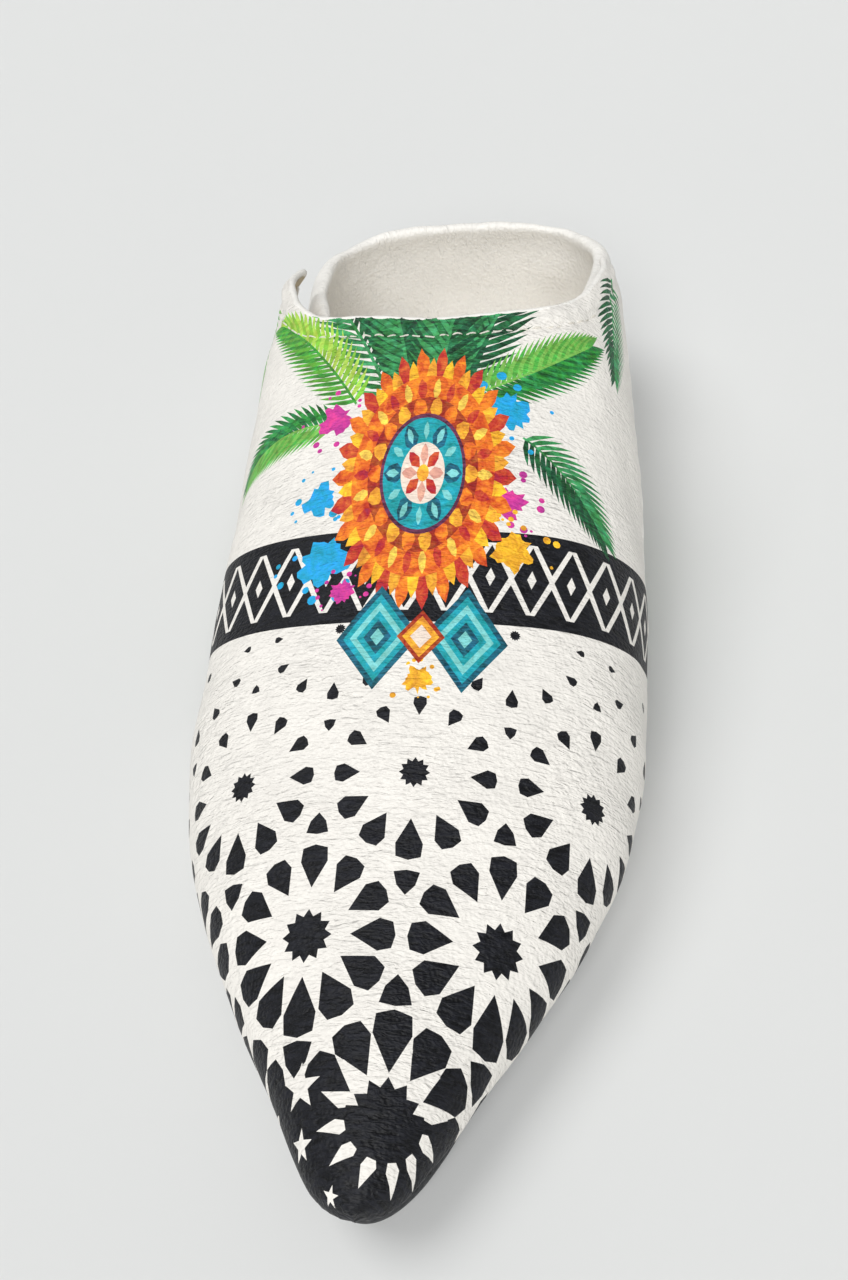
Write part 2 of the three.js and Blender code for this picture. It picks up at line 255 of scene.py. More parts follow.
class Chart:
    """A leather surface rolled out flat, in millimetres: u is the way round the section from
    place 0, and v the way along place 0 from the first station."""

    STATIONS = 260
    PLACES = 91

    def __init__(self, surface, start, end):
        self.surface = surface
        self.angles = np.linspace(sole_angle(start), sole_angle(end), self.STATIONS)
        self.places = np.linspace(0, 1, self.PLACES)
        grid = np.meshgrid(self.angles, self.places, indexing="ij")
        points = np.stack(surface(grid[0], grid[1], 0.0), -1)
        steps = np.linalg.norm(np.diff(points, axis=1), axis=2)
        self.round = np.concatenate([np.zeros((len(self.angles), 1)), steps.cumsum(1)], 1)
        self.along = travelled(points[:, 0])

    def flat(self, angle, place):
        """The flat u and v of points given by angle and place."""
        i, f = cell(angle, self.angles)
        j, g = cell(place, self.places)
        low = mix(self.round[i, j], self.round[i, j + 1], g)
        high = mix(self.round[i + 1, j], self.round[i + 1, j + 1], g)
        return np.stack([mix(low, high, f), np.interp(angle, self.angles, self.along)], -1)

    def point(self, flat, depth=0.0):
        """The places on the last of flat points, in the row frame. A minus u is the left side."""
        u, v = np.abs(flat[:, 0]), flat[:, 1]
        angle = np.interp(v, self.along, self.angles)
        i, f = cell(v, self.along)
        place = np.zeros(len(u))
        for k in np.unique(i):
            here = i == k
            low = np.interp(u[here], self.round[k], self.places)
            high = np.interp(u[here], self.round[k + 1], self.places)
            place[here] = mix(low, high, f[here])
        x, at, z = self.surface(angle, place, depth)
        return np.stack([np.where(flat[:, 0] < 0, -x, x), at - LENGTH / 2, z], -1)


# ---- Meshes ----
BODY = "root"
MM = 0.001
WELD_GAP = 1e-6  # in metres, like the mesh
SHORT_EDGE = 1e-7


def linear(code):
    """A colour's linear red, green and blue from its sRGB code."""
    parts = [int(code[i : i + 2], 16) / 255 for i in (1, 3, 5)]
    return [c / 12.92 if c <= 0.04045 else ((c + 0.055) / 1.055) ** 2.4 for c in parts]


def put_in_scene(name, data):
    thing = bpy.data.objects.new(name, data)
    bpy.context.scene.collection.objects.link(thing)
    return thing


def make_piece(
    name, points, faces, material, slot, stands_for=(), inks=None, flat=None, normals=None, weld=False
):
    """A smooth mesh piece on the shoe's body. Points are in millimetres. inks gives each face a
    colour, flat gives each point its place on the rolled-out leather, normals gives each point
    its normal, and weld joins points that lie on each other."""
    mesh = bpy.data.meshes.new(name)
    mesh.from_pydata((np.asarray(points) * MM).tolist(), [], [list(map(int, f)) for f in faces])
    if weld:
        shape = bmesh.new()
        shape.from_mesh(mesh)
        bmesh.ops.remove_doubles(shape, verts=shape.verts, dist=WELD_GAP)
        bmesh.ops.dissolve_degenerate(shape, edges=shape.edges, dist=SHORT_EDGE)
        shape.to_mesh(mesh)
        shape.free()
    mesh.polygons.foreach_set("use_smooth", [True] * len(mesh.polygons))
    corners = np.empty(len(mesh.loops), int)
    mesh.loops.foreach_get("vertex_index", corners)
    if flat is not None:
        layer = mesh.uv_layers.new(name="flat")
        layer.data.foreach_set("uv", (np.asarray(flat)[corners] * MM).ravel())
    if inks is not None:
        sizes = [len(f) for f in faces]
        colours = np.ones((len(corners), 4))
        colours[:, :3] = np.repeat(np.asarray(inks), sizes, axis=0)
        layer = mesh.attributes.new("ink", "FLOAT_COLOR", "CORNER")
        layer.data.foreach_set("color", colours.ravel())
    if normals is not None:
        mesh.normals_split_custom_set_from_vertices(np.asarray(normals).tolist())
    mesh.materials.append(material)
    piece = put_in_scene(name, mesh)
    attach(piece, BODY)
    if stands_for:
        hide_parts(*stands_for)


def joined(parts):
    """Several (points, faces) as one."""
    points, faces, start = [], [], 0
    for some_points, some_faces in parts:
        points.append(np.asarray(some_points))
        faces += [[start + int(i) for i in face] for face in some_faces]
        start += len(some_points)
    return np.concatenate(points), faces


def grid_faces(rows, columns, wrap=False, flip=False):
    """The quads of a grid of points, row by row. wrap joins the last column to the first."""
    faces = []
    for i in range(rows - 1):
        for j in range(columns if wrap else columns - 1):
            k = (j + 1) % columns
            quad = [i * columns + j, i * columns + k, (i + 1) * columns + k, (i + 1) * columns + j]
            faces.append(quad[::-1] if flip else quad)
    return faces


def tube(path, radii, sides, up):
    """A round rod along a path, closed at both ends. Its first side lies square to up."""
    path = np.asarray(path, float)
    ways = unit(np.gradient(path, axis=0))
    across = unit(np.cross(ways, np.broadcast_to(up, path.shape)))
    above = np.cross(across, ways)
    turns = np.arange(sides) * 2 * math.pi / sides
    radii = np.broadcast_to(radii, len(path))[:, None, None]
    ring = np.cos(turns)[None, :, None] * across[:, None]
    ring = ring + np.sin(turns)[None, :, None] * above[:, None]
    points = (path[:, None] + radii * ring).reshape(-1, 3)
    faces = grid_faces(len(path), sides, wrap=True)
    faces.append(list(range(sides)))
    last = (len(path) - 1) * sides
    faces.append([last + i for i in range(sides)][::-1])
    return points, faces


def resample(path, step):
    """Evenly spaced points along a path, about step apart."""
    along = travelled(path)
    places = np.linspace(0, along[-1], max(2, round(along[-1] / step) + 1))
    return line_at(places, along, path)


# ---- Creases ----
CREASE_BOW = 0.012  # how much a crease bends along its length
RIPPLE_WAVES = 9
RIPPLE_LENGTHS = (22, 48)


def crease_height(flat, creases):
    """How far the creases lift the leather. A crease is a soft trough (depth below zero) or
    ridge on the rolled-out leather: its middle u and v, its direction in degrees from across
    the shoe, its half length and half width, and its depth."""
    height = np.zeros(len(flat))
    for u, v, turn, length, width, depth in creases:
        cos, sin = math.cos(math.radians(turn)), math.sin(math.radians(turn))
        du, dv = flat[:, 0] - u, flat[:, 1] - v
        along, across = du * cos + dv * sin, dv * cos - du * sin
        bow = across - CREASE_BOW * along**2 / max(1, length / 12)
        height += depth * np.exp(-((along / length) ** 2) - (bow / width) ** 2)
    return height


def ripple(flat, seed, size):
    """A slow unevenness of soft leather, as a few crossing waves."""
    chance = random.Random(seed)
    height = np.zeros(len(flat))
    for _ in range(RIPPLE_WAVES):
        turn = chance.uniform(0, math.pi)
        wave = chance.uniform(*RIPPLE_LENGTHS)
        phase = chance.uniform(0, 2 * math.pi)
        way = flat[:, 0] * math.cos(turn) + flat[:, 1] * math.sin(turn)
        height += np.sin(way * 2 * math.pi / wave + phase)
    return size * height / math.sqrt(RIPPLE_WAVES)


class Leather:
    """A chart of the last with its creases: gives points and normals of the leather's face.
    outward is -1 where the chart's own normal points into the shoe."""

    def __init__(self, chart, creases, seed, unevenness, outward=1):
        self.chart, self.creases, self.seed = chart, creases, seed
        self.unevenness, self.outward = unevenness, outward

    def height(self, flat):
        return crease_height(flat, self.creases) + ripple(flat, self.seed, self.unevenness)

    def place(self, flat, depth=0.0):
        """Points and normals of the creased face at a depth below the last's own surface."""
        step, tiny = 0.25, 1e-6

        def last(place):
            return self.chart.point(place, depth)

        def slopes(value):
            ways = np.array([step, 0]), np.array([0, step])
            return [(value(flat + way) - value(flat - way)) / (2 * step) for way in ways]

        to_side, to_heel = slopes(last)
        normal = np.cross(to_side, to_heel) * self.outward
        size = np.linalg.norm(normal, axis=1, keepdims=True)
        normal = np.where(size > tiny, normal / np.maximum(size, tiny), [0, -1, 0])
        climb_side, climb_heel = slopes(self.height)
        tilted = unit(normal - climb_side[:, None] * to_side - climb_heel[:, None] * to_heel)
        return last(flat) + normal * self.height(flat)[:, None], tilted


# ---- The print: flat shapes laid on the rolled-out leather ----
def inside(points, outline):
    """Which points lie inside a closed outline."""
    hit = np.zeros(len(points), bool)
    x, y = points[:, 0], points[:, 1]
    for (x0, y0), (x1, y1) in zip(outline, np.roll(outline, -1, axis=0)):
        if y0 == y1:
            continue
        crosses = (y0 > y) != (y1 > y)
        hit ^= crosses & (x < x0 + (y - y0) * (x1 - x0) / (y1 - y0))
    return hit


def inked_skin(outline, shapes, spacing, ground=None):
    """Cuts a flat outline into triangles along the shapes' edges. shapes holds (points, colour)
    in the order they are printed, on the ground's colour. Returns flat points, triangles and
    each triangle's colour."""
    parts, nearness = 12, 1e-4
    outline = anticlockwise(outline)
    outline = resample(np.concatenate([outline, outline[:1]]), spacing)[:-1]
    low, high = outline.min(0), outline.max(0)
    us = np.arange(low[0], high[0], spacing)
    vs = np.arange(low[1], high[1], spacing * math.sqrt(3) / 2)
    grid = np.array([(u + spacing / 2 * (j % 2), v) for j, v in enumerate(vs) for u in us])
    grid = grid[inside(grid, outline)]
    clear = np.ones(len(grid), bool)
    for chunk in np.array_split(np.arange(len(grid)), parts):
        gaps = np.abs(grid[chunk, None, :] - outline[None]).sum(2).min(1)
        clear[chunk] = gaps > 0.5 * spacing
    points = [*grid[clear], *outline]
    rings = [list(range(len(points) - len(outline), len(points)))]
    for shape, _ in shapes:
        ring = densify(shape, 1.6 * spacing)
        rings.append(list(range(len(points), len(points) + len(ring))))
        points += list(ring)
    flat = [Vector((float(p[0]), float(p[1]))) for p in points]
    flat, _, triangles, _, _, owners = delaunay_2d_cdt(flat, [], rings, 1, nearness, True)
    kept = [(face, max(owner)) for face, owner in zip(triangles, owners) if 0 in owner]
    inks = [ground if top == 0 else shapes[top - 1][1] for _, top in kept]
    used, faces = np.unique([face for face, _ in kept], return_inverse=True)
    return np.array([tuple(p) for p in flat])[used], faces.reshape(-1, 3).tolist(), inks


def anticlockwise(shape):
    shape = np.asarray(shape, float)
    ahead = np.roll(shape, -1, axis=0)
    area = np.sum(shape[:, 0] * ahead[:, 1] - shape[:, 1] * ahead[:, 0])
    return shape if area > 0 else shape[::-1]


def densify(shape, step):
    """A closed shape's corners, anticlockwise, with points added along its long sides."""
    shape = anticlockwise(shape)
    ring = []
    for a, b in zip(shape, np.roll(shape, -1, axis=0)):
        count = max(1, math.ceil(np.linalg.norm(b - a) / step))
        ring += [mix(a, b, i / count) for i in range(count)]
    return np.array(ring)


def placed(shape, middle, turn=0.0):
    """A shape turned by degrees about its own origin, and then moved."""
    cos, sin = math.cos(math.radians(turn)), math.sin(math.radians(turn))
    return np.asarray(shape) @ np.array([[cos, sin], [-sin, cos]]) + middle


def round_shape(radii):
    """A closed shape round the origin, from its radii at even turns."""
    turns = np.arange(len(radii)) * 2 * math.pi / len(radii)
    return np.stack([radii * np.cos(turns), radii * np.sin(turns)], -1)


def star(points, outer, inner):
    """A star with a point along +u."""
    return round_shape(np.tile([outer, inner], points))


def disc(radius, count=40):
    return round_shape(np.full(count, radius))


SKIN_SPACING = 1.5  # the size of the printed skins' triangles
LINING_SPACING = 3.2
WHITE = linear("#f0ece5")
BLACK = linear("#101116")

# The star lattice: rosettes of twelve petals at the corners of even triangles.
LATTICE_SPACING = 40.0
LATTICE_ROW = 35.3
LATTICE_ORIGIN = np.array([5.6, 18.4])  # the rosette nearest the toe
LATTICE_HALF = 85  # rosettes further out than this lie off the vamp
LATTICE_END = 131.5  # the lattice goes on under the band, up to here
ROSETTE_PETALS = 12
STAR_WAIST = 0.74
# How far each piece has grown, against its v: specks under the band, and pieces that touch near
# the toe. Then the radius of the star in a rosette's middle.
growth = track(
    (-20, 28, 44, 60, 80, 92, 112, 128, 145), (1.2, 1.16, 1.04, 0.93, 0.76, 0.56, 0.36, 0.2, 0.1)
)
star_radius = track((0, 18, 53, 89, 124), (7.4, 7.4, 5.6, 3.4, 1.3))


def mirrored(tip, shoulder, corner, end):
    """A six-cornered shape along u, from its tip, one side's two corners and its end."""
    one_side = [shoulder, corner]
    other_side = [(u, -v) for u, v in one_side]
    return np.array([(tip, 0), *other_side, (end, 0), *one_side[::-1]])


# Petals along +u from their rosette's middle, with the tip pointing inwards, then the shields
# between three rosettes and the white kites between the toe's petals.
PETAL = mirrored(9.3, (15.3, 3.5), (18.2, 2.8), 18.9)
LONG_PETAL = mirrored(9.0, (15.6, 3.5), (19.0, 3.2), 19.9)
SHIELD = mirrored(3.7, (1.3, 2.2), (-1.9, 3.1), -2.4)
KITE = np.array([(13.8, -0.7), (9.6, -1.6), (7.9, -0.9), (7.9, 0.9), (9.2, 1.4)])
# The toe's solid black, and the white stars on it: middle u and v, outer size and turn.
TOE_BLACK = ((-40, -5), (40, -5), (40, 20), (16, 20), (-4, 20), (-6, 25), (-40, 25))
KITES_END = 31
TOE_STARS = (
    (-4.5, 4, 2.0, 70),
    (-12, 13.7, 3.1, 84),
    (-12.5, 24, 4.6, 92),
    (17.5, 4, 2.0, 100),
    (25, 13.7, 3.1, 96),
)


def grown(shape, middle):
    """A shape shrunk about its own middle by the growth at that distance from the toe."""
    size = float(growth(middle[1]))
    return middle + (shape - middle) * size


def lattice_shapes():
    """The rosettes from the band down to the toe, in printing order."""
    black, white = [], []
    step = 360 / ROSETTE_PETALS
    for row in range(-1, 4):
        for column in range(-3, 4):
            middle = LATTICE_ORIGIN + [LATTICE_SPACING * (column + row % 2 / 2), LATTICE_ROW * row]
            if abs(middle[0]) > LATTICE_HALF:
                continue
            radius = star_radius(middle[1])
            black.append(placed(star(ROSETTE_PETALS, radius, STAR_WAIST * radius), middle))
            for k in range(ROSETTE_PETALS):
                petal = placed(LONG_PETAL if k % 6 == 3 else PETAL, middle, step * k)
                black.append(grown(petal, petal.mean(0)))
                white.append(placed(KITE, middle, step * (k + 0.5)))
            for up in (1, -1):
                corner = middle + [LATTICE_SPACING / 2, up * LATTICE_ROW / 3]
                black.append(grown(placed(SHIELD, corner, -90 * up), corner))
    toe_white = [kite for kite in white if kite[:, 1].mean() < KITES_END]
    toe_white += [placed(star(5, size, 0.4 * size), (u, v), turn) for u, v, size, turn in TOE_STARS]
    return [
        *[(shape, BLACK) for shape in black if shape[:, 1].mean() < LATTICE_END],
        (np.array(TOE_BLACK, float), BLACK),
        *[(shape, WHITE) for shape in toe_white],
    ]


# The black band across the vamp: two rails, and between them diamonds with teeth on both sides.
BAND_MIDDLE = 137.5
BAND_HALF = 12.2
BAND_REACH = 82
BAND_LAG = 6.5  # how far the band has moved towards the heel at u = 55
BAND_RAIL = 3
BAND_PITCH = 9.6


def band_line(u):
    """The band's own middle line, which lags towards the heel at the sides."""
    return BAND_MIDDLE + BAND_LAG * (u / 55) ** 2


def banded(shape):
    """A shape drawn about the band's middle line, bent with the band."""
    shape = np.array(shape, float)
    shape[:, 1] += band_line(shape[:, 0])
    return shape


def lozenge(middle, half_u, half_v):
    u, v = middle
    return np.array([(u + half_u, v), (u, v + half_v), (u - half_u, v), (u, v - half_v)])


def band_shapes():
    shapes = []
    us = np.arange(1 - BAND_REACH, BAND_REACH, 3.0)
    for low in (-BAND_HALF, BAND_HALF - BAND_RAIL):
        near = np.stack([us, np.full(len(us), low)], -1)
        far = np.stack([us[::-1], np.full(len(us), low + BAND_RAIL)], -1)
        shapes.append((banded(np.concatenate([near, far])), BLACK))
    for k in range(-8, 9):
        u, middle = k * BAND_PITCH, (k + 0.5) * BAND_PITCH
        shapes.append((banded(densify(lozenge((u, 0), 4.2, 8.6), 2)), BLACK))
        shapes.append((banded(lozenge((u, 0), 1.1, 2.4)), WHITE))
        for end in (-1, 1):
            edge = end * (BAND_HALF - BAND_RAIL + 0.2)
            tooth = [(middle - 3.9, edge), (middle, edge - end * 7.6), (middle + 3.9, edge)]
            shapes.append((banded(tooth), BLACK))
    return shapes


# The medallion in front of the throat: rings of petals in an upright oval.
MEDALLION = np.array([1.5, 166.0])
MEDALLION_HALF = np.array([21.0, 35.5])
CRIMSON, ORANGE, GOLD = linear("#c9402c"), linear("#ec7424"), linear("#f4aa33")
YELLOW, RUST, PLUM = linear("#f7cf55"), linear("#a8401f"), linear("#5d2a45")
TEAL, DEEP_TEAL, PALE_TEAL = linear("#1d9fab"), linear("#17586b"), linear("#7fd0cd")
CREAM, BLUSH = linear("#f4e2d2"), linear("#e3a592")
CYAN, MAGENTA, AMBER = linear("#22a9e0"), linear("#d43c9c"), linear("#f6b62c")


def petal_ring(count, start, end, width, phase=0.0):
    """Petals round a circle of radius one, each from start to end along its own ray."""
    petal = mirrored(start, (mix(start, end, 0.4), width), (mix(start, end, 0.78), 0.72 * width), end)
    return [placed(petal, (0, 0), 360 * k / count + phase) for k in range(count)]


def medallion_shapes():
    rings = [
        (petal_ring(26, 0.66, 1.07, 0.085), (CRIMSON, ORANGE)),
        (petal_ring(26, 0.64, 0.98, 0.07, 360 / 52), (GOLD, AMBER)),
        ([disc(0.82)], (ORANGE,)),
        (petal_ring(26, 0.6, 0.8, 0.045), (YELLOW, CRIMSON)),
        ([disc(0.63)], (RUST,)),
        (petal_ring(18, 0.44, 0.64, 0.075), (GOLD, ORANGE)),
        ([disc(0.49)], (PLUM,)),
        ([disc(0.455)], (TEAL,)),
        (petal_ring(12, 0.2, 0.45, 0.085), (DEEP_TEAL, TEAL)),
        (petal_ring(12, 0.27, 0.42, 0.035), (PALE_TEAL,)),
        ([disc(0.25)], (CREAM,)),
        (petal_ring(8, 0.06, 0.24, 0.05), (BLUSH, CRIMSON)),
        ([disc(0.07, 16)], (GOLD,)),
    ]
    return [
        (MEDALLION + shape * MEDALLION_HALF, inks[k % len(inks)])
        for shapes, inks in rings
        for k, shape in enumerate(shapes)
    ]


ORNAMENT_U = 4.5
ORNAMENT_V = 121.5


def ornament_shapes():
    """Two nested teal lozenges and a small gold one between them, on the band's toe-side edge."""
    tones = (DEEP_TEAL, TEAL, PALE_TEAL, TEAL, DEEP_TEAL, PALE_TEAL)
    shapes = []
    for aside in (-9.9, 9.9):
        for k, tone in enumerate(tones):
            size = 1 - k / len(tones)
            shapes.append((lozenge((ORNAMENT_U + aside, ORNAMENT_V), 9.7 * size, 13.2 * size), tone))
    for half, tone in ((5.4, RUST), (4.2, GOLD), (2.4, CREAM)):
        shapes.append((lozenge((ORNAMENT_U, ORNAMENT_V), half, 1.25 * half), tone))
    return shapes


def splash(middle, radius, ink, seed):
    """A blot of paint with a ragged edge, and the drops round it."""
    chance = random.Random(seed)
    corners, drops = 30, 11
    blot = round_shape(np.array([radius * chance.uniform(0.6, 1.15) for _ in range(corners)]))
    shapes = [(middle + blot, ink)]
    for _ in range(drops):
        turn, far = chance.uniform(0, 2 * math.pi), radius * chance.uniform(1.25, 2.1)
        size = radius * chance.uniform(0.07, 0.22)
        drop = middle + far * np.array([math.cos(turn), math.sin(turn)])
        shapes.append((drop + disc(size, 9), ink))
    return shapes


DARK_GREENS = (linear("#1e5c36"), linear("#2d7a45"), linear("#17482d"), linear("#3c8f55"))
GREENS = (linear("#2f8a3c"), linear("#57a843"), linear("#1f6b35"), linear("#7dbd55"))
LIGHT_GREENS = (linear("#8cc63f"), linear("#5fa83a"), linear("#b3d957"), linear("#3f8f35"))
# A leaflet's corners, as shares of its reach, of its half width and of its droop.
LEAFLET = (
    (0, -0.6, 0),
    (0.35, -1, 0),
    (0.75, -0.6, 0.5),
    (1, 0, 1),
    (0.7, 0.6, 0.5),
    (0.3, 1, 0),
    (0, 0.6, 0),
)


def frond(base, tip, bend, leaflet, pairs, inks):
    """A palm leaf: a bent rib with narrow leaflets that shorten and close up to its tip. bend
    moves the rib's middle sideways, and leaflet is about the longest leaflets' length."""
    base, tip = np.asarray(base, float), np.asarray(tip, float)
    way = (tip - base) / np.linalg.norm(tip - base)
    aside = np.array([-way[1], way[0]])
    middle = (base + tip) / 2 + aside * bend

    def rib(t):
        return (1 - t) ** 2 * base + 2 * t * (1 - t) * middle + t * t * tip

    shapes = []
    for k in range(pairs):
        t = (k + 0.6) / pairs
        root, ahead = rib(t), rib(t + 0.02) - rib(t)
        ahead /= np.linalg.norm(ahead)
        reach = leaflet * (0.42 + 0.9 * math.sin(math.pi * min(1, 0.16 + 0.74 * t)) ** 1.1) * 0.78
        for side in (-1, 1):
            spread = math.radians(side * mix(62, 17, t))
            cos, sin = math.cos(spread), math.sin(spread)
            out = np.array([ahead[0] * cos - ahead[1] * sin, ahead[0] * sin + ahead[1] * cos])
            across = np.array([-out[1], out[0]])
            half = 0.052 * leaflet + 0.16
            droop = ahead * reach * 0.16
            blade = [root + out * reach * r + across * half * w + droop * d for r, w, d in LEAFLET]
            shapes.append((np.array(blade), inks[(k * 2 + (side > 0) * 3) % len(inks)]))
    line = np.array([rib(t) for t in np.linspace(0, 1, 9)])
    thin = aside * 0.028 * leaflet
    shapes.append((np.concatenate([line + thin, line[::-1] - thin]), inks[3]))
    return shapes


# Where each palm leaf starts and ends, its bend, its leaflets' length and number, and its greens.
# The first four fan out behind the medallion, and the rest are at its sides.
FAN_GROUND = ((-6, 186), (10, 186), (20, 226), (2, 219), (-25, 228))
VAMP_LEAVES = (
    ((-8.6, 188), (-31, 229), -4, 13.5, 17, DARK_GREENS),
    ((8.2, 188), (25, 229), 4, 13.5, 17, DARK_GREENS),
    ((-3.2, 188), (-13, 229), -2, 13.5, 17, DARK_GREENS),
    ((3.4, 188), (9, 229), 2, 13.5, 17, DARK_GREENS),
    ((-17, 188), (-45, 225), -3, 11.5, 24, LIGHT_GREENS),
    ((-22, 183), (-53, 180), -5, 10.5, 22, GREENS),
    ((12, 189), (41, 211), -3, 11.5, 24, GREENS),
    ((25, 178), (47, 158), 3, 10, 18, DARK_GREENS),
    ((48, 243), (51, 209), 2, 8.5, 18, DARK_GREENS),
    ((-52, 240), (-57, 212), -2, 7.5, 16, GREENS),
)
# On a quarter u is the height up the wall, and v the way back from its front.
QUARTER_LEAVES = (
    ((37, 128), (43, 84), 2, 6.5, 15, DARK_GREENS),
    ((43, 92), (46, 48), 2, 6.5, 15, DARK_GREENS),
    ((38, 84), (9, 62), -4, 9.5, 15, DARK_GREENS),
    ((37, 104), (5, 84), -4, 9.5, 15, LIGHT_GREENS),
    ((36, 120), (8, 105), -3, 8.5, 15, GREENS),
    ((33, 128), (15, 122), -2, 7, 15, DARK_GREENS),
    ((41, 66), (14, 40), -3, 8.5, 15, GREENS),
    ((41, 100), (58, 84), 2, 7.5, 15, GREENS),
    ((43, 76), (58, 62), 2, 7, 15, DARK_GREENS),
)
# Middle, radius, colour and seed.
SPLASHES = (
    ((21, 185), 6.2, CYAN, 332),
    ((-23.5, 161), 4.8, CYAN, -4),
    ((-20.5, 143), 6.4, CYAN, 0),
    ((-22, 184), 4.6, MAGENTA, 30),
    ((22, 159), 4.8, MAGENTA, 313),
    ((-15, 134), 3.2, MAGENTA, 29),
    ((24, 146), 5.6, AMBER, 314),
    ((4.5, 111), 3.4, AMBER, 142),
)


def all_of(draw, rows):
    """What a drawing function makes of each of a table's rows, in one list."""
    return [shape for row in rows for shape in draw(*row)]


def vamp_print():
    fan_ground = (np.array(FAN_GROUND, float), DARK_GREENS[0])
    leaves = [fan_ground, *all_of(frond, VAMP_LEAVES), *all_of(splash, SPLASHES)]
    return lattice_shapes() + band_shapes() + leaves + medallion_shapes() + ornament_shapes()


# ---- Materials ----
# Grain sizes are in metres, since the leather's own flat chart (the UV map) is in metres too.
class Shader:
    """A material's node tree, with short calls for the nodes used here."""

    def __init__(self, name, roughness, **sockets):
        self.material = bpy.data.materials.new(name)
        self.material.use_nodes = True
        self.tree = self.material.node_tree
        self.surface = self.tree.nodes["Principled BSDF"]
        self.surface.inputs["Roughness"].default_value = roughness
        for socket, value in sockets.items():
            self.surface.inputs[socket.replace("_", " ")].default_value = value

    def node(self, kind, inputs=(), **settings):
        node = self.tree.nodes.new(kind)
        for name, value in settings.items():
            setattr(node, name, value)
        for name, value in dict(inputs).items():
            if isinstance(value, bpy.types.NodeSocket):
                self.tree.links.new(value, node.inputs[name])
            else:
                node.inputs[name].default_value = value
        return node

    def place(self, on_chart=False, stretch=(1, 1, 1)):
        """Where a point lies: on the flat chart, or in the shoe's own space."""
        if on_chart:
            source = self.node("ShaderNodeUVMap", uv_map="flat").outputs["UV"]
        else:
            source = self.node("ShaderNodeTexCoord").outputs["Object"]
        return self.node("ShaderNodeMapping", {"Vector": source, "Scale": stretch}).outputs["Vector"]

    def noise(self, place, size, detail=2.0, roughness=0.5, distortion=0.0):
        inputs = {"Vector": place, "Scale": 1 / size, "Detail": detail}
        inputs |= {"Roughness": roughness, "Distortion": distortion}
        return self.node("ShaderNodeTexNoise", inputs).outputs["Fac"]

    def cells(self, place, size):
        inputs = {"Vector": place, "Scale": 1 / size, "Smoothness": 0.35}
        return self.node("ShaderNodeTexVoronoi", inputs, feature="SMOOTH_F1").outputs["Distance"]

    def spread(self, value, low, high, start=0.3, end=0.7):
        """A noise value stretched from start..end to low..high."""
        inputs = {"Value": value, "From Min": start, "From Max": end, "To Min": low, "To Max": high}
        return self.node("ShaderNodeMapRange", inputs).outputs["Result"]

    def add(self, one, other, weight):
        """One value plus another times its weight."""
        inputs = {0: other, 1: weight, 2: one}
        return self.node("ShaderNodeMath", inputs, operation="MULTIPLY_ADD").outputs["Value"]

    def times(self, one, other):
        return self.node("ShaderNodeMath", {0: one, 1: other}, operation="MULTIPLY").outputs["Value"]

    def bumps(self, *layers):
        """The normal after layers of bumps, each a height and how far it stands in metres."""
        normal = {}
        for height, distance in layers:
            node = self.node("ShaderNodeBump", {"Height": height, "Distance": distance, **normal})
            normal = {"Normal": node.outputs["Normal"]}
        return normal["Normal"]

    def finish(self, colour, shade, normal, roughness=None):
        """Joins up the surface. The colour is a socket or three numbers, and the shade is a
        brightness from 0 up."""
        source = colour if isinstance(colour, bpy.types.NodeSocket) else (*colour, 1)
        shaded = self.node("ShaderNodeHueSaturation", {"Color": source, "Value": shade})
        self.tree.links.new(shaded.outputs["Color"], self.surface.inputs["Base Color"])
        if normal is not None:
            self.tree.links.new(normal, self.surface.inputs["Normal"])
        if roughness is not None:
            self.tree.links.new(roughness, self.surface.inputs["Roughness"])
        return self.material


def inked(shader, even):
    """The print's colour, mottled where it is strong, and how dark it is from 0 to 1."""
    ink = shader.node("ShaderNodeAttribute", attribute_name="ink").outputs["Color"]
    parts = shader.node("ShaderNodeSeparateColor", {"Color": ink}, mode="HSV").outputs
    blotch = shader.spread(shader.noise(even, 0.0035, 4, 0.65, 0.8), -0.5, 0.5)
    depth = shader.times(parts["Green"], blotch)
    tinted = {"Color": ink, "Hue": shader.add(0.5, depth, 0.05), "Value": shader.add(1, depth, 0.75)}
    colour = shader.node("ShaderNodeHueSaturation", tinted).outputs["Color"]
    return colour, shader.spread(parts["Blue"], 1, 0, 0, 0.5)


def wrinkled_leather(name, roughness, colour=None, wrinkle=0.0009, on_chart=True):
    """Soft goatskin: fine wrinkles across the shoe over a tight grain, their troughs painted darker as
    shade.
    Without a colour of its own it takes the print's ink, with painted highlights and shade on the folds."""
    shader = Shader(name, roughness, Specular_IOR_Level=0.24, Sheen_Weight=0.02)
    even = shader.place(on_chart)
    broad = shader.noise(even, 0.018, 3)
    fine = shader.noise(even, 0.0011, 3, 0.6)
    folds = shader.noise(shader.place(on_chart, (0.3, 1, 1)), 0.00105, 2.5, 0.5, 1.1)
    shade = shader.add(shader.spread(broad, 0.95, 1.01), shader.spread(fine, -1, 1), 0.02)
    # Painted shade in the fine wrinkles' troughs, and a faint painted highlight on their crests.
    shade = shader.add(shade, shader.spread(folds, -1, 0.4), 0.012)
    if colour is None:
        colour, dark = inked(shader, even)
        # Painted highlights on the wrinkles' crests and painted shade in their troughs, scaled by how
        # dark the ink is.
        painted_fold_highlights = shader.times(dark, shader.spread(folds, -0.5, 1, 0.35, 0.65))
        shade = shader.add(shade, painted_fold_highlights, 1.2)
    patches = shader.spread(shader.noise(even, 0.03), 0.35, 1)
    normal = shader.bumps(
        (shader.times(folds, patches), wrinkle), (shader.cells(even, 0.0009), 0.00018), (broad, 0.0008)
    )
    worn = shader.add(shader.spread(folds, roughness - 0.06, roughness + 0.08), fine, 0.05)
    return shader.finish(colour, shade, normal, worn)


